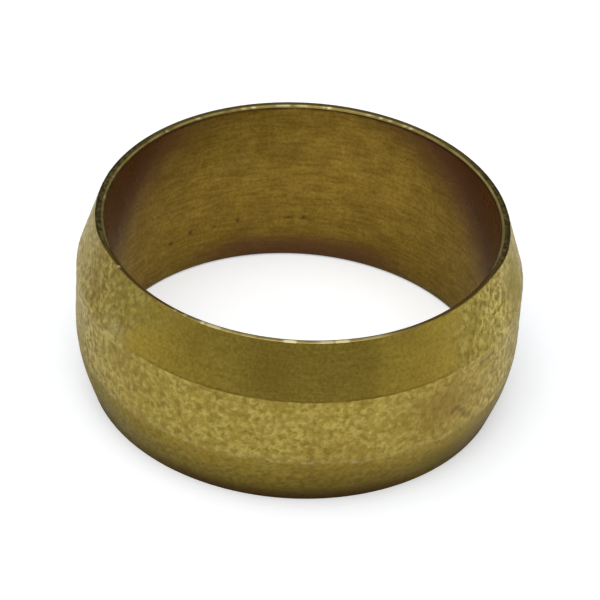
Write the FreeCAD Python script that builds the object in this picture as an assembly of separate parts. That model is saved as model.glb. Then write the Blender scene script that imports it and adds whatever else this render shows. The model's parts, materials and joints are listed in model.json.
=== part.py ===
import FreeCAD, Part
import math
import os

# Compression olive for a plain pipe: a barrel-shaped ring turned in one piece from brass.
# It stands on one end, with its axis along +Z and its origin at the middle of that end.
# Lengths are in millimetres.

# Driving dimensions
pipe_diameter = 22.0  # outside of the pipe that the ring slides onto
pipe_clearance = 0.05  # gap all round between the pipe and the bore
ring_length = 10.6  # from end to end along the axis
land_length = 4.15  # straight band round the middle of the outside
land_wall = 1.45  # wall between the bore and the land
rim_wall = 0.46  # wall left at each end, where the flanks run out
mouth_bevel = 0.33  # width of the shallow bevel at both mouths of the bore
mouth_depth = 0.1  # how far that bevel reaches into the bore
rim_rounding = 0.08  # rounding on the outer edge of each rim
shoulder_rounding = 1.0  # rounding where each flank meets the land

# Radii and heights that follow from them
bore_radius = pipe_diameter / 2 + pipe_clearance
land_radius = bore_radius + land_wall
rim_radius = bore_radius + rim_wall
flank_length = (ring_length - land_length) / 2
land_foot = flank_length
land_top = flank_length + land_length

axis_point = FreeCAD.Vector(0, 0, 0)
axis_direction = FreeCAD.Vector(0, 0, 1)
full_turn = 360


def section_point(radius, height):
    """A point of the half section, which lies in the XZ plane."""
    return FreeCAD.Vector(radius, 0, height)


def rounded_corner(before, corner, after, rounding):
    """Start, middle and end of the arc that rounds one corner between its two neighbours."""
    way_back = (before - corner).normalize()
    way_on = (after - corner).normalize()
    half_angle = way_back.getAngle(way_on) / 2
    inwards = (way_back + way_on).normalize()
    tangent_length = rounding / math.tan(half_angle)
    middle_depth = rounding / math.sin(half_angle) - rounding
    start = corner + way_back * tangent_length
    middle = corner + inwards * middle_depth
    end = corner + way_on * tangent_length
    return start, middle, end


def section_face():
    """Half section of the ring: bore, bevelled mouths, flat rims, tapered flanks and land."""
    sharp = 0.0
    corners = [
        (section_point(bore_radius, mouth_depth), sharp),
        (section_point(bore_radius + mouth_bevel, 0), sharp),
        (section_point(rim_radius, 0), rim_rounding),
        (section_point(land_radius, land_foot), shoulder_rounding),
        (section_point(land_radius, land_top), shoulder_rounding),
        (section_point(rim_radius, ring_length), rim_rounding),
        (section_point(bore_radius + mouth_bevel, ring_length), sharp),
        (section_point(bore_radius, ring_length - mouth_depth), sharp),
    ]
    edges = []
    pen = corners[0][0]
    for index in range(1, len(corners)):
        corner, rounding = corners[index]
        before = corners[index - 1][0]
        after = corners[(index + 1) % len(corners)][0]
        if rounding > 0:
            start, middle, end = rounded_corner(before, corner, after, rounding)
            edges.append(Part.LineSegment(pen, start).toShape())
            edges.append(Part.Arc(start, middle, end).toShape())
        else:
            end = corner
            edges.append(Part.LineSegment(pen, end).toShape())
        pen = end
    edges.append(Part.LineSegment(pen, corners[0][0]).toShape())
    return Part.Face(Part.Wire(edges))


os.makedirs("parts", exist_ok=True)
olive = section_face().revolve(axis_point, axis_direction, full_turn)
olive.exportStep("parts/olive.step")
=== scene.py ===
import json
import math

import bpy
import numpy as np
from mathutils import Matrix, Vector, noise


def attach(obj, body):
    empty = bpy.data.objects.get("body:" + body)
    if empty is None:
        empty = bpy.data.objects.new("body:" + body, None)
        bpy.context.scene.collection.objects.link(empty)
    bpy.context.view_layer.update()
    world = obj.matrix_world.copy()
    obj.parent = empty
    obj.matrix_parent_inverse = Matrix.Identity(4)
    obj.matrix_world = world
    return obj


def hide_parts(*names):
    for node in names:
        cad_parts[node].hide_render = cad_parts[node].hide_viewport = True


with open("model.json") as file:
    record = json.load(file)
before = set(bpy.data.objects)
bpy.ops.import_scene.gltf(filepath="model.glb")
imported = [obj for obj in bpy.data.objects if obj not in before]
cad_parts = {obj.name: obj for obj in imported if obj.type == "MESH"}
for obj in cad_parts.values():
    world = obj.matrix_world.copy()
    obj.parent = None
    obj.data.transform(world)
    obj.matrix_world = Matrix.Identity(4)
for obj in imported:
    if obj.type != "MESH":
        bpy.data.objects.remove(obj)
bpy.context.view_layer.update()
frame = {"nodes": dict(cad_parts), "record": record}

mm = 0.001


# measures of the turned ring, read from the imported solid

def readRing():
    solid = frame["nodes"]["olive"]
    points = np.array([v.co for v in solid.data.vertices])
    radius = np.hypot(points[:, 0], points[:, 1])
    height = points[:, 2]
    near = 0.002 * mm
    bore = next(m for m in frame["record"]["mounts"] if m["name"] == "pipe_bore")
    length = height.max()
    onLand = height[radius > radius.max() - near]
    onTop = radius[height > length - near]
    return {
        "bore": bore["dims"]["r_mm"] * mm,
        "land": radius.max(),
        "length": length,
        "bevel": (length - bore["dims"]["length_mm"] * mm) / 2,
        "mouth": onTop.min(),       # where the bore's bevel starts
        "flat": onTop.max(),        # outer edge of the flat rim
        "landLength": onLand.max() - onLand.min(),
    }


ring = readRing()
print("ring read:", {k: round(v / mm, 3) for k, v in ring.items()})


# camera, at the photo's viewing angle

cameraSet = {
    "elevation": 36.63,     # degrees above the floor
    "aimHeight": 5.25 * mm,
    "distance": 205.63 * mm,
    "lens": 219.08,
    "sensor": 36,
    "clip": (0.01, 50),
    "roll": 3.50,       # the ring leans a little to the right in the picture
    "aimDown": 0.0790,
    "aimLeft": 0.0245,
}


def makeCamera():
    data = bpy.data.cameras.new("studioCamera")
    data.sensor_width = cameraSet["sensor"]
    data.lens = cameraSet["lens"]
    data.clip_start, data.clip_end = cameraSet["clip"]
    camera = bpy.data.objects.new("studioCamera", data)
    bpy.context.scene.collection.objects.link(camera)
    tilt = math.radians(cameraSet["elevation"])
    middle = Vector((0, 0, cameraSet["aimHeight"]))
    back = Vector((0, -math.cos(tilt), math.sin(tilt)))
    turn = (
        Matrix.Rotation(math.pi / 2 - tilt, 4, "X")
        @ Matrix.Rotation(math.radians(cameraSet["roll"]), 4, "Z")
        @ Matrix.Rotation(-math.radians(cameraSet["aimDown"]), 4, "X")
        @ Matrix.Rotation(-math.radians(cameraSet["aimLeft"]), 4, "Y")
    )
    camera.matrix_world = Matrix.Translation(middle + back * cameraSet["distance"]) @ turn
    bpy.context.scene.camera = camera


makeCamera()
print("camera placed")


# the ring's own mesh: its section turned once round, with the marks of making and use
# angles of marks are in degrees from the front (-Y), positive towards +X

outsideNames = ["land", "lowFlank", "highFlank", "lowShoulder", "highShoulder"]

ringMesh = {
    "segments": 720,
    "boreRows": 13,
    "pitRows": (2.26, 3.0, 0.085),      # close rows where the pits are: first, last and step in mm
    "pitRowsGap": 0.1 * mm,
    "boreTopRow": 0.14 * mm,        # one more row this far below the bore's top
    "lowLipRows": 6,
    # rows of the upper rim, as shares of its width
    "lipShares": [0.985, 0.90, 0.80, 0.70, 0.62, 0.58, 0.50, 0.415, 0.385, 0.26, 0.13, 0.01],
    "roundRows": 4,
    "lowFlankRows": 9,
    "highFlankRows": 23,
    "lowShoulderRows": 24,
    "highShoulderRows": 3,
    "landRows": 29,
    "support": 0.015 * mm,      # rows this close to a corner keep it crisp
    "rimRound": 0.025 * mm,
    "solidRimRound": 0.08 * mm,     # the solid's own rounding there
    "roundReach": 0.739,        # how far a rounding reaches from the rim's corner, for a radius of 1
    "lowRimExtra": 0.075 * mm,      # the lower rim is a little wider
    "lowShoulderRound": 9.0 * mm,       # the lower shoulder is a broad curve
    "highShoulderRound": 0.15 * mm,
    "lowShoulderDrop": 0.62 * mm,       # how far its corner lies below the end of the land
    "shoulderSetback": 0.150 * mm,      # what the solid's rounding takes off each end of the land
    "sheetMargin": 0.012,       # bare edge of the unrolled surface
}


def spacedRows(start, end, count, support):
    # points along one straight stretch, with a support row near each corner
    start, end = np.array(start), np.array(end)
    share = support / np.linalg.norm(end - start)
    return [start + (end - start) * s for s in np.linspace(share, 1 - share, count)]


def roundRows(before, corner, after, radius, count):
    # points on the arc that rounds one corner of the section
    before, corner, after = (np.array(p) for p in (before, corner, after))
    wayBack = (before - corner) / np.linalg.norm(before - corner)
    wayOn = (after - corner) / np.linalg.norm(after - corner)
    half = math.acos(np.dot(wayBack, wayOn)) / 2
    inwards = (wayBack + wayOn) / np.linalg.norm(wayBack + wayOn)
    centre = corner + inwards * radius / math.sin(half)
    start = corner + wayBack * radius / math.tan(half)
    sweep = math.pi - 2 * half
    first = start - centre
    angle = math.atan2(first[1], first[0])
    return [centre + radius * np.array([math.cos(angle + sweep * s), math.sin(angle + sweep * s)])
            for s in np.linspace(0, 1, count)]


def boreHeights(low, high):
    # even rows, and a close set where the pits are
    close = np.arange(*ringMesh["pitRows"]) * mm
    gap = ringMesh["pitRowsGap"]
    even = np.linspace(low, high, ringMesh["boreRows"])
    even = even[(even < close[0] - gap) | (even > close[-1] + gap)]
    return np.sort(np.concatenate([even, close, [high - ringMesh["boreTopRow"]]]))[::-1]


def landEnds():
    # heights of the land's two ends
    foot = (ring["length"] - ring["landLength"]) / 2 - ringMesh["shoulderSetback"]
    return foot, ring["length"] - foot


def rimRadii():
    # outer edge of the rim's flat, and the corner beyond it
    corner = ring["flat"] + ringMesh["roundReach"] * ringMesh["solidRimRound"]
    return corner - ringMesh["roundReach"] * ringMesh["rimRound"], corner


def sectionRows():
    # (radius, height) of every row with the name of its stretch, up the outside and down the bore
    m = ringMesh
    bore, land, length = ring["bore"], ring["land"], ring["length"]
    foot, top = landEnds()
    flat, rimRadius = rimRadii()
    corner = {
        "lowRim": (rimRadius + m["lowRimExtra"], 0),
        "lowShoulder": (land, foot - m["lowShoulderDrop"]),
        "highShoulder": (land, top),
        "highRim": (rimRadius, length),
        "highBore": (bore, length),
        "lowBore": (bore, 0),
    }
    names = list(corner)
    rounding = {
        "lowRim": (m["rimRound"], m["roundRows"]),
        "lowShoulder": (m["lowShoulderRound"], m["lowShoulderRows"]),
        "highShoulder": (m["highShoulderRound"], m["highShoulderRows"]),
        "highRim": (m["rimRound"], m["roundRows"]),
    }
    # the straight stretch after each corner, and its rows
    stretch = {
        "lowRim": ("lowFlank", m["lowFlankRows"]),
        "lowShoulder": ("land", m["landRows"]),
        "highShoulder": ("highFlank", m["highFlankRows"]),
        "highRim": ("highLip", 0),
        "highBore": ("bore", 0),
        "lowBore": ("lowLip", m["lowLipRows"]),
    }
    arcs = {}
    for i, name in enumerate(names):
        if name in rounding:
            before = corner[names[i - 1]]
            after = corner[names[(i + 1) % len(names)]]
            arcs[name] = roundRows(before, corner[name], after, *rounding[name])
    rows = []
    for i, name in enumerate(names):
        nextName = names[(i + 1) % len(names)]
        kind, count = stretch[name]
        rows += [(p, name) for p in arcs.get(name, [])]
        if kind == "highLip":
            places = [np.array([bore + share * (flat - bore), length]) for share in m["lipShares"]]
        elif kind == "bore":
            inset = ring["bevel"] + m["support"]
            places = [np.array([bore, h]) for h in boreHeights(inset, length - inset)]
        else:
            start = arcs[name][-1] if name in arcs else corner[name]
            end = arcs[nextName][0] if nextName in arcs else corner[nextName]
            places = spacedRows(start, end, count, m["support"])
        rows += [(p, kind) for p in places]
    return rows


def smooth(low, high, value):
    # 0 at low, 1 at high, which may be the smaller one
    share = np.clip((value - low) / (high - low), 0, 1)
    return share * share * (3 - 2 * share)


def stripe(limits, value):
    # 1 between the inner two of four limits, 0 beyond the outer two
    return smooth(limits[0], limits[1], value) * (1 - smooth(limits[2], limits[3], value))


def turned(angle):
    # degrees from the front folded into -180..180
    return (angle + 180) % 360 - 180


def noiseGrid(points, size, octaves):
    # seamless noise at the points of a grid, about -1..1
    total = np.zeros(points.shape[:2])
    weight, scale = 1.0, 1 / size
    for octave in range(octaves):
        layer = [noise.noise(Vector(p) * scale) for p in points.reshape(-1, 3)]
        total += weight * np.array(layer).reshape(total.shape)
        weight, scale = weight * 0.5, scale * 2.1       # each octave is weaker and finer
    return total


def patches(points, size, octaves, level, swing, most):
    # noise about one level, kept between 0 and the most
    return np.clip(level + swing * noiseGrid(points, size, octaves), 0, most)


def blob(angles, heights, radius, mark):
    # soft spot with its middle at one angle and height
    angle, height, halfWidth, halfHeight = mark[:4]
    across = np.radians(turned(angles - angle)) * radius / (halfWidth * mm)
    along = (heights - height * mm) / (halfHeight * mm)
    return np.exp(-(across ** 2 + along ** 2))


# raw skin: left on the land and on the sides of the flanks, turned away in front

skinPlaces = {
    "start": 34,        # the flanks are turned bright in front of this angle
    "full": 63,     # and keep the skin beyond this one
    "leftShift": 2,     # both come this much sooner on the left
    "rightShift": 4,        # and on the right
    "waver": 9,     # the edge wanders by about this angle
    "waverSize": 4 * mm,
    "backFade": (125, 150),     # most of it is turned away again at the back
    "backLoss": 0.75,
    "lowLeft": 0.5,     # what the lower flank keeps of it
    "lowRight": 0.28,
    "lowMiddle": 0.34,
    "lowMiddleRise": (0.6 * mm, 2.0 * mm),
    "dip": 0.11 * mm,       # its lower edge lies this far below the land's foot
    "rightDip": 0.16 * mm,      # and further at the front's right
    "rightDipStart": (5, 35),
    "rightDipEnd": (100, 60),
    "softEdge": 0.05 * mm,
    "rougher": 1.2,     # it is this much rougher at the sides
    "rougherStart": (48, 72),
    "rougherEnd": (110, 145),
    "rougherLoss": 0.85,        # what of that is lost at the back
    "depth": 0.009 * mm,
    "grain": 0.33 * mm,
}


def skinFoot(angles):
    # lower edge of the land's raw skin
    s = skinPlaces
    right = smooth(*s["rightDipStart"], turned(angles)) * smooth(*s["rightDipEnd"], turned(angles))
    return landEnds()[0] - (s["dip"] + s["rightDip"] * right)


def overFoot(angles, heights):
    # 1 above that edge, 0 below it
    foot, soft = skinFoot(angles), skinPlaces["softEdge"]
    return smooth(foot - soft, foot + soft, heights)


def skinShare(angles, heights, points, outside):
    # 1 where the raw skin is left, 0 where the tool has cut it away, more where it is rougher
    s = skinPlaces
    way = turned(angles)
    off = np.abs(way)
    away = off + np.where(way < 0, s["leftShift"], s["rightShift"])
    away = away + s["waver"] * noiseGrid(points, s["waverSize"], 2)
    side = smooth(s["start"], s["full"], away) * (1 - s["backLoss"] * smooth(*s["backFade"], away))
    lowSide = np.where(way > 0, s["lowRight"], s["lowLeft"]) * side
    lowSide = np.maximum(lowSide, s["lowMiddle"] * smooth(*s["lowMiddleRise"], heights))
    side = np.where(heights < skinFoot(angles), lowSide, side)
    onLand = overFoot(angles, heights) * (heights < landEnds()[1])
    rough = s["rougher"] * smooth(*s["rougherStart"], off) * (1 - s["rougherLoss"] * smooth(*s["rougherEnd"], off))
    return (onLand + (1 - onLand) * side) * outside[:, None] * (1 + rough)


# upper rim: worn to a bevel inside, thin in front, scraped here and there, and the scrapes painted bright as wear and
# as highlight

lipWear = {
    "frontEnd": (22, 40),       # angles where front, quarters, sides and back give way to each other
    "quarterEnd": (62, 80),
    "sideEnd": (108, 145),
    "dish": 0.034 * mm,     # the rim leans inwards at the back
    "dishShare": 0.55,      # over this share of its width
    "lean": 0.016 * mm,     # and outwards in front
    "leanStart": 0.60,      # beyond this share
    "leanReach": 0.25 * mm,     # the flank goes with it this far down
    "frontThinner": 0.12 * mm,
    "quarterThinner": 0.16 * mm,
    "scrapeDepth": 0.024 * mm,
    "scrapeSoft": 0.3,      # half the angle over which a scrape ends
    "bevel": (0.16 * mm, 0.05 * mm, 0.015 * mm),        # inner edge: front, sides and back
    "bevelShare": 0.4,      # how much of the rim it takes
}

# bright scraped stretches, painted as wear and as highlight: first angle, last angle, strength
rimScrapes = [
    (-3.2, 0.3, 0.8), (6.4, 10.2, 0.55), (10.6, 14.5, 0.75), (-25.0, -20.6, 0.55), (-26.6, -25.6, 0.9),
    (-32.4, -31.4, 0.5), (-35.6, -34.6, 0.45), (18.0, 24.0, 0.25), (147.5, 148.7, 0.7), (149.8, 150.8, 0.6),
    (154.5, 155.8, 0.6), (157.6, 158.8, 0.7), (161.4, 162.8, 0.5), (173.6, 174.8, 1.0), (175.4, 176.4, 0.6),
    (180.5, 184.0, 0.5), (185.8, 190.2, 0.6), (196.4, 197.6, 0.9), (199.4, 200.8, 0.6), (214.2, 215.6, 0.6),
    (226.0, 226.8, 0.9), (254.6, 255.4, 0.9), (264.6, 266.2, 0.9), (299.4, 300.2, 0.9),
]


def scrapeShare(angle):
    # how far the upper rim is scraped at each angle, with soft ends
    total = np.zeros_like(angle)
    soft = lipWear["scrapeSoft"]
    for first, last, strength in rimScrapes:
        half = (last - first) / 2
        off = np.abs(turned(angle - first - half))
        total = np.maximum(total, strength * (1 - smooth(half - soft, half + soft, off)))
    return total


def rimPlaces(angle):
    # shares of front, quarters, sides and back at each angle
    off = np.abs(turned(angle))
    pastFront, pastQuarter, pastSide = (smooth(*lipWear[k], off) for k in ("frontEnd", "quarterEnd", "sideEnd"))
    return 1 - pastFront, pastFront * (1 - pastQuarter), pastQuarter * (1 - pastSide), pastSide


def lipShare(radius):
    # 0 at the bore, 1 at the outer edge of the flat
    return (radius - ring["bore"]) / (rimRadii()[0] - ring["bore"])


def shapeLips(height, radius, angles, names):
    # the upper rim's worn section, and the lower rim's plain bevel
    w = lipWear
    length = ring["length"]
    upper, lower, edge, flank = (names == n for n in ("highLip", "lowLip", "highRim", "highFlank"))
    front, quarter, side, back = rimPlaces(angles[0])
    worn = scrapeShare(angles[0])
    share = lipShare(radius[upper])
    outwards = w["lean"] * front + w["scrapeDepth"] * worn * (front + quarter)
    inwards = (w["dish"] + w["scrapeDepth"] * worn) * back
    bevel = sum(d * part for d, part in zip(w["bevel"], (front + quarter, side, back)))
    height[upper] -= bevel * np.clip(1 - share / w["bevelShare"], 0, 1)
    height[upper] -= outwards * np.clip((share - w["leanStart"]) / (1 - w["leanStart"]), 0, 1)
    height[upper] -= inwards * np.clip(1 - share / w["dishShare"], 0, 1)
    top = landEnds()[1]
    taper = (ring["land"] - rimRadii()[1]) / (length - top)
    lowered = outwards * np.clip(1 - (length - height[flank]) / w["leanReach"], 0, 1)
    height[edge] -= outwards
    radius[edge] += taper * outwards
    height[flank] -= lowered
    radius[flank] += taper * lowered
    thin = w["frontThinner"] * front + w["quarterThinner"] * quarter
    for part in (flank, edge):
        radius[part] -= thin * np.clip((height[part] - top) / (length - top), 0, 1)
    radius[upper] -= thin * np.clip(share, 0, 1)
    share = (radius[lower] - ring["bore"]) / (ring["mouth"] - ring["bore"])
    height[lower] += ring["bevel"] * np.clip(1 - share, 0, 1)


rimLook = {
    "patchSize": 1.1 * mm,
    "patches": (0.8, 0.7, 1.3),     # level, swing and most
    "mottleSize": 0.24 * mm,
    "mottle": (0.66, 0.9, 1.1),
    # stripes along the rim, as shares of its width from the bore
    "sideLine": (0.05, 0.13, 0.24, 0.38),       # painted highlight line at the sides
    "backLine": (0.14, 0.24, 0.38, 0.50),       # and at the back
    "innerEnd": (0.57, 0.63),       # the painted shade on the inner part ends here in front
    "outerStart": (0.70, 0.85),     # the sides are darkest from here
    "backStep": (0.3, 0.5),
    # how dark the painted shade is
    "frontDark": 0.5,
    "quarterDark": 0.3,
    "outerDark": 0.4,
    "backDark": (0.8, 0.38),        # inside, and how much less outside
    "gapDark": 0.6,     # painted shade in breaks of the highlight line at the back
    "gapStart": (0.75, 0.40),
    "edgeDark": 0.95,
    # how bright the painted highlights are
    "frontBright": 0.30,
    "sideBright": 0.4,
    "backBright": 0.2,
    "edgeBright": (0.7, 0.2),       # front and quarters
}


def rimTones(radius, angles, names, points):
    # dark shares of painted shade, bright shares of scraped wear and painted highlight, and brown shares of the upper
    # rim
    k = rimLook
    front, quarter, side, back = rimPlaces(angles)
    share, worn = lipShare(radius), scrapeShare(angles)
    patchy = patches(points[:1], k["patchSize"], 3, *k["patches"])
    mottled = patches(points, k["mottleSize"], 2, *k["mottle"])
    sideLine, backLine = stripe(k["sideLine"], share), stripe(k["backLine"], share)
    inner = 1 - smooth(*k["innerEnd"], share)
    backDark = k["backDark"][0] - k["backDark"][1] * smooth(*k["backStep"], share)
    sideDark = mottled + k["outerDark"] * smooth(*k["outerStart"], share)
    darkAndShade = (k["frontDark"] * front + k["quarterDark"] * quarter) * inner
    darkAndShade += side * sideDark * (1 - sideLine) + back * backDark * (1 - backLine)
    darkAndShade += k["gapDark"] * back * backLine * smooth(*k["gapStart"], patchy)
    wearAndHighlight = front * (1 - inner) * np.maximum(k["frontBright"] * patchy ** 2, worn)
    wearAndHighlight += quarter * (1 - inner) * worn
    wearAndHighlight += side * sideLine * np.maximum(k["sideBright"] * patchy, worn)
    wearAndHighlight += back * backLine * np.maximum(k["backBright"] * patchy, worn)
    onLip = (names == "highLip")[:, None]
    onEdge = (names == "highRim")[:, None]
    darkAndShade = np.where(onLip, darkAndShade, onEdge * k["edgeDark"] * side * (1 - worn))
    wearAndHighlight = np.where(onLip, wearAndHighlight, onEdge * (front + quarter) * worn)
    lowEdge = np.flatnonzero(names == "highRim")[:2]
    rubbedAndHighlight = k["edgeBright"][0] * front * patchy + k["edgeBright"][1] * quarter
    wearAndHighlight[lowEdge] = np.maximum(wearAndHighlight, rubbedAndHighlight)[lowEdge]
    brown = onLip * quarter * (1 - worn)
    return np.clip(darkAndShade, 0, 1), np.clip(wearAndHighlight, 0, 1), brown


# marks: angle, height, half width and half height in mm, and then the depth in mm or the strength

dents = [
    (44.5, 4.55, 0.16, 0.10, 0.030), (46.2, 4.70, 0.30, 0.16, 0.045), (47.6, 4.40, 0.14, 0.22, 0.035),
    (48.8, 4.05, 0.20, 0.12, 0.025), (50.4, 3.80, 0.16, 0.10, 0.020),
    (55.2, 6.85, 0.22, 0.09, 0.030), (57.6, 6.78, 0.35, 0.08, 0.035), (60.2, 6.80, 0.18, 0.08, 0.025),
    (-57.0, 4.10, 0.16, 0.13, 0.022), (-33.5, 5.20, 0.14, 0.12, 0.020), (-11.0, 5.05, 0.12, 0.10, 0.018),
    (9.5, 3.42, 0.10, 0.06, 0.020), (112.0, 5.10, 0.30, 0.14, 0.035), (163.0, 6.20, 0.22, 0.16, 0.030),
    (205.0, 4.30, 0.28, 0.10, 0.030), (238.0, 5.70, 0.16, 0.20, 0.030),
]

# low in the bore
pits = [
    (180.0, 2.74, 0.13, 0.12, 0.040), (184.6, 2.72, 0.32, 0.07, 0.025), (200.4, 2.77, 0.10, 0.13, 0.030),
    (216.5, 2.70, 0.11, 0.11, 0.030), (223.7, 2.44, 0.13, 0.11, 0.035), (208.0, 2.62, 0.08, 0.08, 0.020),
]

# brown clouds on the outside
clouds = [
    (41.0, 5.4, 2.6, 2.0, 0.60), (-5.0, 8.9, 1.1, 1.5, 0.30), (8.0, 8.6, 1.4, 1.2, 0.10),
    (150.0, 5.0, 3.0, 1.6, 0.25), (-112.0, 5.6, 2.4, 1.4, 0.22), (-160.0, 8.4, 1.8, 1.2, 0.20),
    (-67.0, 8.8, 2.2, 1.5, 0.26),
]

# dull spots on the outside
dullSpots = [
    (79.0, 8.8, 1.7, 1.6, 0.88), (-80.0, 8.8, 2.0, 1.6, 0.34), (39.0, 5.2, 2.6, 1.8, 0.26),
    (46.0, 1.3, 2.6, 1.3, 0.60), (-132.0, 8.6, 2.2, 1.4, 0.30), (122.0, 8.9, 2.0, 1.2, 0.25),
]

# painted highlight spots on the outside
paintedHighlightSpots = [
    (-53.0, 7.75, 0.8, 0.5, 0.20), (-49.0, 8.0, 0.5, 0.4, 0.10), (-57.0, 8.1, 0.4, 0.5, 0.10),
    (62.0, 7.9, 0.6, 0.4, 0.09), (66.0, 7.6, 0.5, 0.5, 0.10), (-64.0, 4.6, 0.6, 0.4, 0.10),
    (-58.0, 4.0, 0.4, 0.4, 0.10),
]


def spotShare(marks, angles, heights, outside):
    # soft spots of one kind on the outside
    total = np.zeros_like(heights)
    for mark in marks:
        total = np.maximum(total, mark[4] * blob(angles, heights, ring["land"], mark))
    return total * outside[:, None]


ageSet = {
    # dull lower flank: mottling, a band under the land and a brown foot, the foot also painted shade, darker towards
    # the bottom
    "mottleSize": 0.29 * mm,
    "mottleStretch": (1, 1, 1.3),
    "mottle": (0.18, 3.0, 1),       # level, swing and most
    "mottled": 0.54,
    "bandRise": (2.2 * mm, 2.7 * mm),
    "band": 0.46,
    "bandMottle": (0.50, 0.9),      # plain and mottled share of it
    "footEnd": (0.3 * mm, 1.5 * mm),
    "foot": 0.9,
    "footMottle": (0.5, 0.5),
    # painted shade along the foot, darker towards the bottom, more of it in front
    "bottomShade": 0.28,
    "bottomShadeFront": 0.46,
    "bottomShadeMiddle": -3,
    "bottomShadeFrontEnd": (22, 44),
    "bottomShadeEnd": (0.02 * mm, 1.25 * mm),
    # the land's lower edge: a painted highlight strip, and rubbed stretches in front that also carry painted
    # highlight, by height over the edge in mm
    "edgeHighlight": 0.05,
    "edgeHighlightLimits": (0.0, 0.08, 0.2, 0.6),
    "rubbedAndHighlight": 0.4,
    "rubbedAndHighlightLimits": (-0.03, 0.10),
    "rubbedAndHighlightSize": 0.8 * mm,
    "rubbedAndHighlightNoise": (0.0, 0.25),
    "rubbedAndHighlightMiddle": 6,
    "rubbedAndHighlightEnd": (11, 17),
    # painted sheen on the sides
    "paintedSideSheen": 0.14,
    "sideLimits": (64, 78, 100, 120),
    # painted reflection of the bore's own walls, reddish brown high up at its sides, and painted shade along its foot
    "ruddySlope": (6.0, 8.0),       # degrees per mm of height, left and right
    "ruddyLimit": (102, 97),        # where it ends at the height below
    "ruddyHeight": 2.5,
    "ruddySoft": (-24, 10),
    "ruddyFront": (35, 75),
    "ruddyFootEnd": (0.6 * mm, 2.0 * mm),
    "ruddyFootStart": (135, 165),
    # painted shade under the bore's upper edge
    "dirtAndShade": (0.5, 0.6, 0.95),
    "dirtAndShadeRight": 0.3,
    "dirtAndShadeSize": 0.7 * mm,
    "dentDirt": 0.7,        # dirt in the dents
    "pitDirt": 1.0,
}


def tarnishAndShadeShare(angles, heights, points, outside):
    # tarnish on the lower flank, its brown foot also painted shade, darker towards the bottom
    a = ageSet
    below = (1 - overFoot(angles, heights)) * outside[:, None]
    rows = np.flatnonzero((below > 0).any(1))
    mottled = np.zeros_like(heights)
    mottled[rows] = patches(points[rows] * a["mottleStretch"], a["mottleSize"], 2, *a["mottle"])
    band = a["band"] * smooth(*a["bandRise"], heights) * (a["bandMottle"][0] + a["bandMottle"][1] * mottled)
    foot = a["foot"] * (1 - smooth(*a["footEnd"], heights)) * (a["footMottle"][0] + a["footMottle"][1] * mottled)
    return np.maximum(np.maximum(band, foot), a["mottled"] * mottled) * below


def bottomShadeShare(angles, heights, outside):
    # painted shade along the foot, darker towards the bottom and stronger in front
    a = ageSet
    front = 1 - smooth(*a["bottomShadeFrontEnd"], np.abs(turned(angles - a["bottomShadeMiddle"])))
    return (a["bottomShade"] + a["bottomShadeFront"] * front) * (1 - smooth(*a["bottomShadeEnd"], heights)) * outside[:, None]


def edgeShare(angles, heights, points, outside):
    # painted highlight and rubbed places along the land's lower edge
    a = ageSet
    over = (heights - skinFoot(angles)) / mm
    broken = smooth(*a["rubbedAndHighlightNoise"], noiseGrid(points[:1], a["rubbedAndHighlightSize"], 2))
    broken = broken * (1 - smooth(*a["rubbedAndHighlightEnd"], np.abs(turned(angles - a["rubbedAndHighlightMiddle"]))))
    rubbedAndHighlight = a["rubbedAndHighlight"] * broken * ((over > a["rubbedAndHighlightLimits"][0]) & (over < a["rubbedAndHighlightLimits"][1]))
    return np.maximum(rubbedAndHighlight, a["edgeHighlight"] * stripe(a["edgeHighlightLimits"], over)) * outside[:, None]


def paintedBoreReflectionAndShade(angles, heights, names):
    # painted reflection of the bore's own walls at its sides, and painted shade along its foot
    a = ageSet
    off, onRight = np.abs(turned(angles)), turned(angles) > 0
    slope = np.where(onRight, a["ruddySlope"][1], a["ruddySlope"][0])
    limit = np.where(onRight, a["ruddyLimit"][1], a["ruddyLimit"][0]) + (heights / mm - a["ruddyHeight"]) * slope
    sides = (1 - smooth(*a["ruddySoft"], off - limit)) * smooth(*a["ruddyFront"], off)
    foot = (1 - smooth(*a["ruddyFootEnd"], heights)) * smooth(*a["ruddyFootStart"], off)
    return np.maximum(sides, foot) * (names == "bore")[:, None]


def reliefMarks(angles, heights, points, names, skin):
    # how far skin, dents and pits push the surface out, and the dirt in them
    outside, inBore = np.isin(names, outsideNames), names == "bore"
    push, dirtAndShade = np.zeros_like(heights), np.zeros_like(heights)
    push[outside] = skin[outside] * skinPlaces["depth"] * noiseGrid(points[outside], skinPlaces["grain"], 2)
    for marks, area, radius, dirty in ((dents, outside, ring["land"], ageSet["dentDirt"]),
                                       (pits, inBore, ring["bore"], ageSet["pitDirt"])):
        for mark in marks:
            spot = blob(angles, heights, radius, mark) * area[:, None]
            push -= spot * mark[4] * mm
            dirtAndShade = np.maximum(dirtAndShade, dirty * spot)
    return push, dirtAndShade


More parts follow.
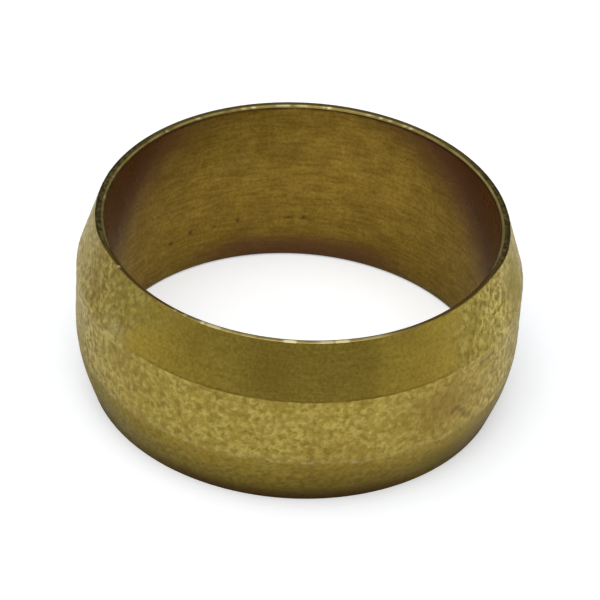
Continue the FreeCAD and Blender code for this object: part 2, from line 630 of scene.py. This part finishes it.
def ringTones(angles, heights, radius, points, names, dirtAndShade):
    # masks that the materials read
    a = ageSet
    outside = np.isin(names, outsideNames)
    darkAndShade, wearAndHighlight, lipBrown = rimTones(radius, angles, names, points)
    # dirt in dents and pits, and the rim's painted shade
    stainAndShade = np.maximum(dirtAndShade, darkAndShade)
    # painted shade under the bore's upper edge, more on the right
    boreTop = np.flatnonzero(names == "bore")[0]
    level, swing, most = a["dirtAndShade"]
    level = level + a["dirtAndShadeRight"] * (turned(angles[0]) > 0)
    stainAndShade[boreTop] = patches(points[boreTop:boreTop + 1], a["dirtAndShadeSize"], 2, level, swing, most)[0]
    # painted sheen on the sides, and painted highlights along the land's lower edge and in spots, with rubbed places
    paintedSideSheen = a["paintedSideSheen"] * stripe(a["sideLimits"], np.abs(turned(angles))) * outside[:, None]
    rubbedAndHighlight = np.maximum(edgeShare(angles, heights, points, outside), spotShare(paintedHighlightSpots, angles, heights, outside))
    # painted reflection and shade in the bore, brown clouds outside
    brown = np.maximum(paintedBoreReflectionAndShade(angles, heights, names), spotShare(clouds, angles, heights, outside))
    tarnishAndShade = tarnishAndShadeShare(angles, heights, points, outside)
    return {
        "stainAndShade": stainAndShade,
        "scrapeAndHighlight": np.maximum(np.maximum(wearAndHighlight, rubbedAndHighlight), paintedSideSheen),
        "ruddy": np.maximum(brown, lipBrown),
        "tarnishAndShade": np.maximum(tarnishAndShade, spotShare(dullSpots, angles, heights, outside)),
        "bottomShade": bottomShadeShare(angles, heights, outside),
    }


def buildRing():
    rows = sectionRows()
    rowCount, count = len(rows), ringMesh["segments"]
    section = np.array([p for p, name in rows])
    names = np.array([name for p, name in rows])
    turns = np.linspace(-math.pi / 2, 1.5 * math.pi, count, endpoint=False)
    ahead = np.roll(section, -1, 0) - np.roll(section, 1, 0)
    ahead /= np.linalg.norm(ahead, axis=1)[:, None]
    outwards = np.stack([ahead[:, 1], -ahead[:, 0]], 1)
    radius = np.repeat(section[:, :1], count, 1)
    height = np.repeat(section[:, 1:], count, 1)
    angles = np.repeat(np.degrees(turns)[None] + 90, rowCount, 0)
    points = np.stack([radius * np.cos(turns), radius * np.sin(turns), height], 2)

    # marks are placed on the plain section, which is then worn and pushed along its normal
    skin = skinShare(angles, height, points, np.isin(names, outsideNames))
    push, dirtAndShade = reliefMarks(angles, height, points, names, skin)
    masks = {"skin": skin, **ringTones(angles, height, radius, points, names, dirtAndShade)}
    shapeLips(height, radius, angles, names)
    radius = radius + outwards[:, :1] * push
    height = np.clip(height + outwards[:, 1:] * push, 0, ring["length"])
    points = np.stack([radius * np.cos(turns), radius * np.sin(turns), height], 2)

    i, j = np.meshgrid(np.arange(rowCount), np.arange(count), indexing="ij")
    iNext, jNext = (i + 1) % rowCount, (j + 1) % count
    corners = [i * count + j, i * count + jNext, iNext * count + jNext, iNext * count + j]
    faces = np.stack(corners, 2).reshape(-1, 4)
    mesh = bpy.data.meshes.new("oliveRing")
    mesh.from_pydata(points.reshape(-1, 3).tolist(), [], faces.tolist())
    mesh.polygons.foreach_set("use_smooth", [True] * len(mesh.polygons))
    for name, values in masks.items():
        layer = mesh.attributes.new(name, "FLOAT", "POINT")
        layer.data.foreach_set("value", values.reshape(-1).astype(np.float32))
    unrollRing(mesh, section, count)
    mesh.update()
    piece = bpy.data.objects.new("oliveRing", mesh)
    bpy.context.scene.collection.objects.link(piece)
    print("ring mesh:", rowCount, "rows,", 2 * len(faces), "triangles")
    return piece, names, count


def unrollRing(mesh, section, count):
    # the surface laid out flat in two half turns, one above the other
    margin = ringMesh["sheetMargin"]
    wide, high = 1 - 2 * margin, 0.5 - 2 * margin
    step = np.linalg.norm(np.roll(section, -1, 0) - section, axis=1)
    along = np.concatenate([[0], np.cumsum(step)])
    along = margin + high * along / along[-1]
    half = count // 2
    i, j = np.meshgrid(np.arange(len(section)), np.arange(count), indexing="ij")
    column = (j + half // 2) % count        # the cuts lie at the two sides
    left = margin + wide * (column % half) / half
    right = left + wide / half
    lift = 0.5 * (column // half)
    low, top = along[i] + lift, along[i + 1] + lift
    corners = np.stack([left, low, right, low, right, top, left, top], 2)
    layer = mesh.uv_layers.new(name="OFBake")
    layer.data.foreach_set("uv", corners.reshape(-1).astype(np.float32))


oliveRing, rowNames, segmentCount = buildRing()


# brass: shared effects are node groups, the shaders stay in their materials

def newGroup(name, *outputs):
    # a group with one vector in and values out
    group = bpy.data.node_groups.new(name, "ShaderNodeTree")
    group.interface.new_socket("Vector", in_out="INPUT", socket_type="NodeSocketVector")
    for label in outputs:
        group.interface.new_socket(label, in_out="OUTPUT", socket_type="NodeSocketFloat")
    start, end = group.nodes.new("NodeGroupInput"), group.nodes.new("NodeGroupOutput")
    return group, start.outputs["Vector"], end.inputs


def place(tree, kind, settings=None, values=None):
    # a node with its settings, and its sockets set or linked
    node = tree.nodes.new(kind)
    for key, value in (settings or {}).items():
        setattr(node, key, value)
    for key, value in (values or {}).items():
        if isinstance(value, bpy.types.NodeSocket):
            tree.links.new(value, node.inputs[key])
        else:
            node.inputs[key].default_value = value
    return node


def mapped(tree, value, fromLow, fromHigh, toLow=0.0, toHigh=1.0):
    node = place(tree, "ShaderNodeMapRange", {"interpolation_type": "SMOOTHSTEP"}, {
        "Value": value, "From Min": fromLow, "From Max": fromHigh, "To Min": toLow, "To Max": toHigh})
    return node.outputs["Result"]


def calculated(tree, operation, first, second=0.0):
    return place(tree, "ShaderNodeMath", {"operation": operation}, {0: first, 1: second}).outputs[0]


def vectorCalculated(tree, operation, first, second):
    return place(tree, "ShaderNodeVectorMath", {"operation": operation}, {0: first, 1: second}).outputs[0]


def scaled(tree, vector, scale):
    return place(tree, "ShaderNodeVectorMath", {"operation": "SCALE"}, {0: vector, "Scale": scale}).outputs[0]


def grained(tree, vector, scale, detail, roughness=0.5):
    values = {"Vector": vector, "Scale": scale, "Detail": detail, "Roughness": roughness}
    return place(tree, "ShaderNodeTexNoise", None, values).outputs


def blended(tree, factor, first, second):
    # colours as (r, g, b) or sockets
    sides = [c if isinstance(c, bpy.types.NodeSocket) else (*c, 1) for c in (first, second)]
    node = place(tree, "ShaderNodeMix", {"data_type": "RGBA"}, {"Factor": factor, 6: sides[0], 7: sides[1]})
    return node.outputs[2]


def blendedValue(tree, factor, first, second):
    return place(tree, "ShaderNodeMix", {"data_type": "FLOAT"}, {"Factor": factor, 2: first, 3: second}).outputs[0]


# pairs are where an effect starts and is full, with its least and most after them
skinSet = {
    "curls": 1900,      # wrinkles per metre
    "curlDetail": 1.0,
    "curlWidth": (0.12, 0.0),
    "curlPatch": (0.36, 0.60),
    "curlGrain": (0.32, 0.54, 0.35, 1.0),
    "curlLight": 0.66,
    "curlRelief": 0.3,
    "patches": 900,
    "patchDetail": 2.0,
    "warp": 0.15 * mm,
    "warpDetail": 2.0,
    "grains": 2900,
    "grainDetail": 2.5,
    "grainRoughness": 0.55,
    "grainLight": (0.50, 0.72, 0.0, 0.8),
    "grainDark": (0.52, 0.28, 0.0, 0.85),
    "lit": (0.04 * mm, 0, 0.05 * mm),       # the relief is compared with itself this far up to find its lit sides, painted as highlight, and its other sides, painted as shade
    "reliefHighlight": (0.04, 0.24, 0.0, 0.7),
    "reliefShade": (-0.05, -0.24, 0.0, 0.8),
}


def skinGroup():
    # raw skin: short light wrinkles in patches, light and dark grains, and painted highlight and shade on the sides
    # of its relief
    s = skinSet
    group, vector, end = newGroup("rawSkin", "Height", "Light", "GrainDarkAndShade")
    grainLook = (s["grains"], s["grainDetail"], s["grainRoughness"])
    warp = grained(group, vector, s["grains"], s["warpDetail"])["Color"]
    shift = scaled(group, vectorCalculated(group, "SUBTRACT", warp, (0.5, 0.5, 0.5)), s["warp"])
    warped = vectorCalculated(group, "ADD", vector, shift)
    grain = grained(group, warped, *grainLook)["Fac"]
    grainAbove = grained(group, vectorCalculated(group, "ADD", warped, s["lit"]), *grainLook)["Fac"]
    paintedRelief = calculated(group, "SUBTRACT", grain, grainAbove)
    curls = grained(group, warped, s["curls"], s["curlDetail"])["Fac"]
    offLine = calculated(group, "ABSOLUTE", calculated(group, "SUBTRACT", curls, 0.5))
    patchy = grained(group, vector, s["patches"], s["patchDetail"])["Fac"]
    wrinkle = calculated(group, "MULTIPLY", mapped(group, offLine, *s["curlWidth"]),
                         mapped(group, patchy, *s["curlPatch"]))
    wrinkle = calculated(group, "MULTIPLY", wrinkle, mapped(group, grain, *s["curlGrain"]))
    # light grains, with painted highlight on the lit sides of the relief
    lightAndHighlight = calculated(group, "MAXIMUM", mapped(group, grain, *s["grainLight"]), mapped(group, paintedRelief, *s["reliefHighlight"]))
    lightAndHighlight = calculated(group, "MAXIMUM", lightAndHighlight, calculated(group, "MULTIPLY", wrinkle, s["curlLight"]))
    # dark grains, with painted shade on the shaded sides of the relief
    darkAndShade = calculated(group, "MAXIMUM", mapped(group, grain, *s["grainDark"]), mapped(group, paintedRelief, *s["reliefShade"]))
    height = calculated(group, "ADD", grain, calculated(group, "MULTIPLY", wrinkle, s["curlRelief"]))
    for label, value in (("Height", height), ("Light", lightAndHighlight), ("GrainDarkAndShade", darkAndShade)):
        group.links.new(value, end[label])
    return group


turnSet = {
    "stretch": (700, 700, 5000),        # changes per metre along a streak, and across it
    "streakDetail": 4.0,
    "streakRoughness": 0.65,
    "streak": (0.32, 0.68),
    "speckles": 5200,       # fine dull dots per metre
    "speckleDetail": 3.0,
    "speckleRoughness": 0.6,
    "speckle": (0.30, 0.70),
}


def turningGroup():
    # fine streaks that the tool left round the ring
    s = turnSet
    group, vector, end = newGroup("turningMarks", "Height", "Streak", "Speckle")
    stretched = vectorCalculated(group, "MULTIPLY", vector, s["stretch"])
    streak = grained(group, stretched, 1.0, s["streakDetail"], s["streakRoughness"])["Fac"]
    speckle = grained(group, vector, s["speckles"], s["speckleDetail"], s["speckleRoughness"])["Fac"]
    group.links.new(streak, end["Height"])
    group.links.new(mapped(group, streak, *s["streak"]), end["Streak"])
    group.links.new(mapped(group, speckle, *s["speckle"]), end["Speckle"])
    return group


toneSet = {
    "wide": 230,        # changes per metre
    "wideDetail": 2.0,
    "brown": (0.48, 0.72),
    "small": 900,
    "smallDetail": 3.0,
    "cloud": (0.30, 0.70),
}


def toneGroup():
    # slow changes of tone over the whole ring
    s = toneSet
    group, vector, end = newGroup("oldTone", "Brown", "Cloud")
    wide = grained(group, vector, s["wide"], s["wideDetail"])["Fac"]
    small = grained(group, vector, s["small"], s["smallDetail"])["Fac"]
    group.links.new(mapped(group, wide, *s["brown"]), end["Brown"])
    group.links.new(mapped(group, small, *s["cloud"]), end["Cloud"])
    return group


rawSkin = skinGroup()
turningMarks = turningGroup()
oldTone = toneGroup()

brassSet = {
    "skin": (0.458, 0.349, 0.069),
    # light and dark grain tones of the raw skin, also used for the painted highlight and shade on the sides of its
    # relief
    "skinLightAndHighlight": (0.74, 0.60, 0.165),
    "skinDarkAndShade": (0.325, 0.242, 0.043),
    "turnedOutside": (0.44, 0.306, 0.042),
    "turnedPale": (0.66, 0.492, 0.086),
    "bore": (0.375, 0.228, 0.028),
    "borePale": (0.72, 0.490, 0.085),
    # reddish brown of the bore's painted reflection and shade
    "ruddy": (0.28, 0.128, 0.066),
    "rim": (0.52, 0.40, 0.090),
    # dark rim tone, also used for the rim's painted shade
    "rimDarkAndShade": (0.12, 0.090, 0.032),
    # fresh brass where scraped, also used for painted highlights and painted sheen
    "freshAndHighlight": (0.86, 0.76, 0.44),
    "brown": (0.29, 0.162, 0.030),
    # tarnish, also used for painted shade at the lower flank's foot
    "tarnishAndShade": (0.268, 0.199, 0.043),
    # painted shade along the foot
    "bottomShade": (0.165, 0.060, 0.044),
    # dirt in dents and pits, also used for the painted shade under the bore's upper edge
    "stainAndShade": (0.105, 0.060, 0.028),
    "glance": (1.0, 0.985, 0.96),       # tint at glancing angles
    "tarnishGlance": (1.0, 0.95, 0.54),
}


def newMaterial(name):
    mat = bpy.data.materials.new(name)
    mat.use_nodes = True
    tree = mat.node_tree
    shader = tree.nodes["Principled BSDF"]
    shader.inputs["Metallic"].default_value = 1
    coords = place(tree, "ShaderNodeTexCoord").outputs["Object"]
    return mat, tree, shader, coords


def useGroup(tree, group, coords):
    return place(tree, "ShaderNodeGroup", {"node_tree": group}, {"Vector": coords}).outputs


def attribute(tree, name):
    return place(tree, "ShaderNodeAttribute", {"attribute_name": name}).outputs["Fac"]


def overlaid(tree, colour, *layers):
    # colours of the brass set laid over the first one, each by a mask of the mesh or by a socket
    for mask, name in layers:
        factor = attribute(tree, mask) if isinstance(mask, str) else mask
        colour = blended(tree, factor, colour, brassSet[name])
    return colour


def useBump(tree, shader, strength, distance, height):
    bump = place(tree, "ShaderNodeBump", None, {"Strength": strength, "Distance": distance, "Height": height})
    tree.links.new(bump.outputs[0], shader.inputs["Normal"])


outsideSet = {
    "cloudInSkin": 0.4,     # the skin's edge is cloudy
    "skinEdge": (0.30, 1.20),
    "roughSkin": (1.0, 2.2, 1.0, 1.7),      # stronger lights and darks where the skin is rougher
    "speckles": 0.7,        # against streaks
    "brown": 0.25,
    "turnedRoughness": 0.21,
    "skinRoughness": (0.3, 0.7, 0.46, 0.36),
    "streakRelief": 0.12,
    "bumpStrength": 0.4,
    "bumpDistance": 0.03 * mm,
}


def outsideMaterial():
    s = outsideSet
    mat, tree, shader, coords = newMaterial("brassOutside")
    grain, marks, tone = (useGroup(tree, g, coords) for g in (rawSkin, turningMarks, oldTone))
    skinLeft, tarnishAndShade = attribute(tree, "skin"), attribute(tree, "tarnishAndShade")
    cloud = calculated(tree, "MULTIPLY", tone["Cloud"], s["cloudInSkin"])
    skin = mapped(tree, calculated(tree, "ADD", skinLeft, cloud), *s["skinEdge"])
    strong = mapped(tree, skinLeft, *s["roughSkin"])
    # raw skin: grain tones with the painted highlight and shade of its relief
    raw = blended(tree, calculated(tree, "MULTIPLY", grain["Light"], strong), brassSet["skin"], brassSet["skinLightAndHighlight"])
    raw = blended(tree, calculated(tree, "MULTIPLY", grain["GrainDarkAndShade"], strong), raw, brassSet["skinDarkAndShade"])
    mottle = blendedValue(tree, s["speckles"], marks["Streak"], marks["Speckle"])
    cut = blended(tree, mottle, brassSet["turnedOutside"], brassSet["turnedPale"])
    brown = calculated(tree, "MULTIPLY", tone["Brown"], s["brown"])
    # over the metal: brown tone and clouds, tarnish with painted shade at the lower flank's foot, more painted shade
    # along the foot, dirt in the dents, and rubbed places with painted highlights and painted sheen
    colour = overlaid(tree, blended(tree, skin, cut, raw), (brown, "brown"), ("ruddy", "brown"), (tarnishAndShade, "tarnishAndShade"),
                      ("bottomShade", "bottomShade"), ("stainAndShade", "stainAndShade"), ("scrapeAndHighlight", "freshAndHighlight"))
    tree.links.new(colour, shader.inputs["Base Color"])
    glance = blended(tree, tarnishAndShade, brassSet["glance"], brassSet["tarnishGlance"])
    tree.links.new(glance, shader.inputs["Specular Tint"])
    rough = blendedValue(tree, skin, s["turnedRoughness"], mapped(tree, grain["Height"], *s["skinRoughness"]))
    tree.links.new(rough, shader.inputs["Roughness"])
    height = blendedValue(tree, skin, calculated(tree, "MULTIPLY", marks["Height"], s["streakRelief"]),
                          calculated(tree, "MULTIPLY", grain["Height"], skinLeft))
    useBump(tree, shader, s["bumpStrength"], s["bumpDistance"], height)
    return mat


boreSet = {
    "speckles": 0.5,        # against streaks
    "brown": 0.24,
    "cloudBrown": 0.22,
    "ruddy": 0.9,
    "roughness": (0.0, 1.0, 0.27, 0.34),
    "bumpStrength": 0.35,
    "bumpDistance": 0.02 * mm,
}


def boreMaterial():
    s = boreSet
    mat, tree, shader, coords = newMaterial("brassBore")
    marks, tone = (useGroup(tree, g, coords) for g in (turningMarks, oldTone))
    mottle = blendedValue(tree, s["speckles"], marks["Streak"], marks["Speckle"])
    brown = calculated(tree, "MULTIPLY", tone["Brown"], s["brown"])
    cloud = calculated(tree, "MULTIPLY", tone["Cloud"], s["cloudBrown"])
    # painted reflection and shade in the bore, then dirt in the pits and painted shade under the upper edge
    ruddy = calculated(tree, "MULTIPLY", attribute(tree, "ruddy"), s["ruddy"])
    colour = overlaid(tree, blended(tree, mottle, brassSet["bore"], brassSet["borePale"]),
                      (brown, "brown"), (cloud, "brown"), (ruddy, "ruddy"), ("stainAndShade", "stainAndShade"))
    tree.links.new(colour, shader.inputs["Base Color"])
    tree.links.new(mapped(tree, tone["Cloud"], *s["roughness"]), shader.inputs["Roughness"])
    useBump(tree, shader, s["bumpStrength"], s["bumpDistance"], marks["Height"])
    return mat


rimSet = {
    "grain": 0.4,
    "cloudBrown": 0.3,
    "roughness": (0.0, 1.0, 0.30, 0.40),        # plain, and where it is scraped
}


def rimMaterial():
    s = rimSet
    mat, tree, shader, coords = newMaterial("brassRim")
    grain, tone = (useGroup(tree, g, coords) for g in (rawSkin, oldTone))
    specks = calculated(tree, "MULTIPLY", grain["GrainDarkAndShade"], s["grain"])
    cloud = calculated(tree, "MULTIPLY", tone["Cloud"], s["cloudBrown"])
    scrapedAndHighlight = attribute(tree, "scrapeAndHighlight")
    # dark grain with its painted relief shade, brown clouds, the rim's painted shade, and scraped wear with painted
    # highlights
    colour = overlaid(tree, blended(tree, specks, brassSet["rim"], brassSet["rimDarkAndShade"]),
                      (cloud, "brown"), ("ruddy", "brown"), ("stainAndShade", "rimDarkAndShade"), (scrapedAndHighlight, "freshAndHighlight"))
    tree.links.new(colour, shader.inputs["Base Color"])
    tree.links.new(mapped(tree, scrapedAndHighlight, *s["roughness"]), shader.inputs["Roughness"])
    return mat


def slotNumber(rowName):
    # outside, bore and rims, in the order of the materials
    return 0 if rowName in outsideNames else 1 if rowName == "bore" else 2


for material in (outsideMaterial(), boreMaterial(), rimMaterial()):
    oliveRing.data.materials.append(material)
faceSlots = np.repeat([slotNumber(n) for n in rowNames], segmentCount)
oliveRing.data.polygons.foreach_set("material_index", faceSlots.astype(np.int32))
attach(oliveRing, "root")
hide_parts("olive")
print("brass ready")


# stage: pale floor with painted light and shade that only reflections see, soft studio light

stageSet = {
    "floorSize": 1.2,
    "floor": (0.77, 0.80, 0.845),
    "floorRoughness": 0.9,
    "floorLift": 0.44,      # keeps the floor white for the camera
    "floorReach": 0.12,
    # painted reflection: the floor's light and shade as the brass sees it, darker inside the ring and at its foot and
    # fading far away, by the distance from the middle as a share of the reach
    "paintedReflectedFloor": [(0.0, 0.62), (0.07, 0.40), (0.105, 0.41), (0.128, 0.74), (0.155, 0.84), (0.22, 0.87),
                 (0.40, 0.72), (1.0, 0.50)],
    "paintedSideLight": (0.085, 0.11, -0.20, 0.08),     # painted side light, brighter on the right: inside the ring, then outside
    "paintedShadow": (-24, 39),      # painted shadow on the floor before the camera, seen only in reflections, between these angles from the front
    "paintedShadowSoft": (0.04, 0.06),
    "paintedShadowDepth": (0.22, 0.45, 0.0, 0.18),
    # spots of painted light and painted shade on the floor that the brass sees: angle and half width in degrees,
    # distance and half depth as shares, gain
    "paintedSpots": [(55, 30, 0.108, 0.025, 0.36), (-50, 30, 0.108, 0.025, 0.12), (112, 28, 0.32, 0.08, 0.40),
              (108, 12, 0.135, 0.03, -0.34), (119, 16, 0.22, 0.03, -0.55), (-72, 14, 0.50, 0.12, 0.17)],
}


def paintedSpotGain(tree, angle, share, middle, halfWidth, distance, halfDepth, gain):
    # soft spot of painted light on the floor at one angle and distance, painted shade where its gain is below 0
    offSide = calculated(tree, "ABSOLUTE", calculated(tree, "SUBTRACT", angle, math.radians(middle)))
    offDepth = calculated(tree, "ABSOLUTE", calculated(tree, "SUBTRACT", share, distance))
    across = mapped(tree, offSide, math.radians(2 * halfWidth), 0)
    return calculated(tree, "MULTIPLY", across, mapped(tree, offDepth, 2 * halfDepth, 0, 0, gain))


def paintedShadowShare(tree, angle, share):
    # the painted shadow on the floor, as the brass sees it
    first, last = (math.radians(a) for a in stageSet["paintedShadow"])
    firstSoft, lastSoft = stageSet["paintedShadowSoft"]
    paintedShadowAcross = calculated(tree, "MULTIPLY", mapped(tree, angle, first - firstSoft, first + firstSoft),
                      mapped(tree, angle, last + lastSoft, last - lastSoft))
    return calculated(tree, "MULTIPLY", paintedShadowAcross, mapped(tree, share, *stageSet["paintedShadowDepth"]))


def makeFloor():
    half = stageSet["floorSize"] / 2
    mesh = bpy.data.meshes.new("paleFloor")
    mesh.from_pydata([(-half, -half, 0), (half, -half, 0), (half, half, 0), (-half, half, 0)], [], [(0, 1, 2, 3)])
    floor = bpy.data.objects.new("paleFloor", mesh)
    bpy.context.scene.collection.objects.link(floor)
    mat = bpy.data.materials.new("palePaper")
    mat.use_nodes = True
    tree = mat.node_tree
    shader = tree.nodes["Principled BSDF"]
    shader.inputs["Roughness"].default_value = stageSet["floorRoughness"]
    shader.inputs["Specular IOR Level"].default_value = 0
    shader.inputs["Emission Color"].default_value = (1, 1, 1, 1)
    coords = place(tree, "ShaderNodeTexCoord").outputs["Object"]
    away = place(tree, "ShaderNodeVectorMath", {"operation": "LENGTH"}, {0: coords}).outputs["Value"]
    share = calculated(tree, "DIVIDE", away, stageSet["floorReach"])
    ramp = place(tree, "ShaderNodeValToRGB", None, {"Fac": share})
    stops = ramp.color_ramp.elements
    for k, (where, grey) in enumerate(stageSet["paintedReflectedFloor"]):
        stop = stops[k] if k < 2 else stops.new(where)      # a new ramp has two stops
        stop.position, stop.color = where, (grey, grey, grey, 1)
    split = place(tree, "ShaderNodeSeparateXYZ", None, {0: coords}).outputs
    angle = calculated(tree, "ARCTAN2", split["X"], calculated(tree, "MULTIPLY", split["Y"], -1.0))
    side = calculated(tree, "MULTIPLY", calculated(tree, "DIVIDE", split["X"], away),
                      mapped(tree, share, *stageSet["paintedSideLight"]))
    gain = calculated(tree, "ADD", side, 1.0)
    for spot in stageSet["paintedSpots"]:
        gain = calculated(tree, "ADD", gain, paintedSpotGain(tree, angle, share, *spot))
    # painted light and shade on the floor, seen only in reflections; the camera sees the plain pale floor
    lit = scaled(tree, ramp.outputs[0], gain)
    paintedReflectedFloor = blended(tree, paintedShadowShare(tree, angle, share), lit, (0, 0, 0))
    seen = place(tree, "ShaderNodeLightPath").outputs["Is Camera Ray"]
    tree.links.new(blended(tree, seen, paintedReflectedFloor, stageSet["floor"]), shader.inputs["Base Color"])
    tree.links.new(calculated(tree, "MULTIPLY", seen, stageSet["floorLift"]), shader.inputs["Emission Strength"])
    mesh.materials.append(mat)


lightSet = {
    "ambient": 0.10,
    "lamp": (-0.10, -0.12, 0.99),       # direction of the big soft lamp overhead
    "lampPower": 6.0,
    "lampGain": 2.6,
    "fill": (0, -0.70, 0.70),       # a weak wide lamp above the camera
    "fillPower": 4.0,
    "fillGain": 0.40,
    "glowPower": 4.0,       # pale walls behind the ring and at both sides
    "glow": (-0.6, 0.3, 0.0, 0.35),     # from front to back
    "backdropSeen": 1.0,
}


def lampLobe(tree, way, direction, power, gain):
    # soft round lamp far away, brightest in one direction
    towards = Vector(direction).normalized()
    facing = place(tree, "ShaderNodeVectorMath", {"operation": "DOT_PRODUCT"}, {0: way, 1: towards}).outputs["Value"]
    lobe = calculated(tree, "POWER", calculated(tree, "MAXIMUM", facing, 0.0), power)
    return calculated(tree, "MULTIPLY", lobe, gain)


def makeLight():
    # a dim room with a big soft lamp overhead, a weak one above the camera and a low glow round the back;
    # the camera sees a white backdrop
    s = lightSet
    world = bpy.data.worlds.new("softStudio")
    bpy.context.scene.world = world
    world.use_nodes = True
    tree = world.node_tree
    background = tree.nodes["Background"]
    background.inputs["Color"].default_value = (1, 1, 1, 1)
    way = place(tree, "ShaderNodeTexCoord").outputs["Generated"]
    lamp = lampLobe(tree, way, s["lamp"], s["lampPower"], s["lampGain"])
    fill = lampLobe(tree, way, s["fill"], s["fillPower"], s["fillGain"])
    split = place(tree, "ShaderNodeSeparateXYZ", None, {0: way}).outputs
    low = calculated(tree, "SUBTRACT", 1.0, calculated(tree, "MAXIMUM", split["Z"], 0.0))
    low = calculated(tree, "POWER", low, s["glowPower"])
    glow = calculated(tree, "MULTIPLY", low, mapped(tree, split["Y"], *s["glow"]))
    level = calculated(tree, "ADD", calculated(tree, "ADD", lamp, fill), s["ambient"])
    level = calculated(tree, "ADD", level, glow)
    seen = place(tree, "ShaderNodeLightPath").outputs["Is Camera Ray"]
    tree.links.new(blendedValue(tree, seen, level, s["backdropSeen"]), background.inputs["Strength"])
    bpy.context.scene.view_settings.view_transform = "Standard"


makeFloor()
makeLight()
print("stage set")
